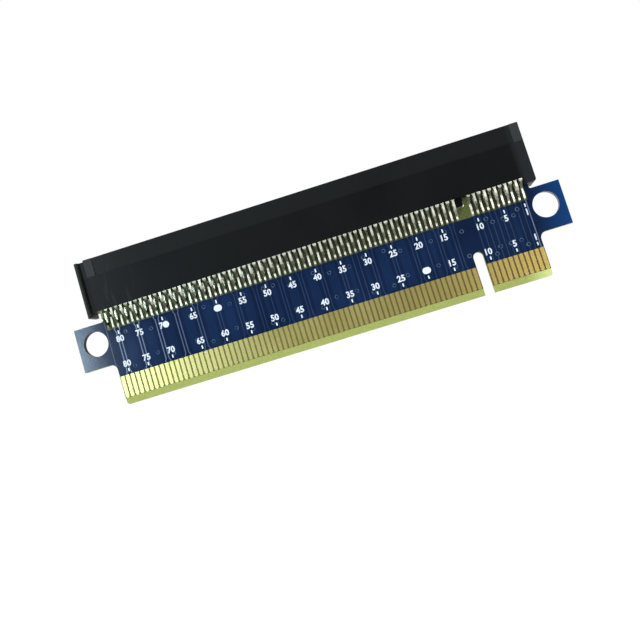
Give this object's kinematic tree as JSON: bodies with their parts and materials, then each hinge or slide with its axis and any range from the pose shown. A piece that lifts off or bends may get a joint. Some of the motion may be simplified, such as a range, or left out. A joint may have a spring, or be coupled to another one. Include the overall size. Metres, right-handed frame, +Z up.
{
  "type": "pcie riser card",
  "caption": "Short circuit board with a bevelled gold card edge below, a black slot connector soldered along its top edge and a screw ear at each end; it lifts an expansion card above its slot.",
  "frame": {"origin": "bottom of the card edge, in the middle of the board's thickness, on the centre line of the key notch", "axes": "+X along the pins towards pin 1, -Y out of the front face of the board, +Z up towards the mouth of the slot"},
  "size_m": [0.0968, 0.0074, 0.0289],
  "materials": {
    "laminate": "bare glass-epoxy laminate, olive green, dull, glass weave just visible",
    "solder_mask": "blue cured solder mask, semi-gloss",
    "gold_plate": "hard gold plate on copper, satin",
    "solder": "reflowed tin solder, bright",
    "contact_metal": "tinned copper alloy strip, satin bright",
    "connector_plastic": "black glass-filled thermoplastic, satin",
    "legend_ink": "white screen-printed ink"
  },
  "bodies": {
    "root": {"circuit_board": "laminate", "solder_mask_front": "solder_mask", "solder_mask_back": "solder_mask", "gold_fingers_short_front": "gold_plate", "gold_fingers_long_front": "gold_plate", "gold_fingers_short_back": "gold_plate", "gold_fingers_long_back": "gold_plate", "contacts_short_inner_front": "contact_metal", "solder_short_inner_front": "solder", "contacts_short_outer_front": "contact_metal", "solder_short_outer_front": "solder", "contacts_long_outer_front": "contact_metal", "solder_long_outer_front": "solder", "contacts_long_inner_front": "contact_metal", "solder_long_inner_front": "solder", "contacts_short_inner_back": "contact_metal", "solder_short_inner_back": "solder", "contacts_short_outer_back": "contact_metal", "solder_short_outer_back": "solder", "contacts_long_outer_back": "contact_metal", "solder_long_outer_back": "solder", "contacts_long_inner_back": "contact_metal", "solder_long_inner_back": "solder", "connector_housing": "connector_plastic"}
  },
  "joints": []
}
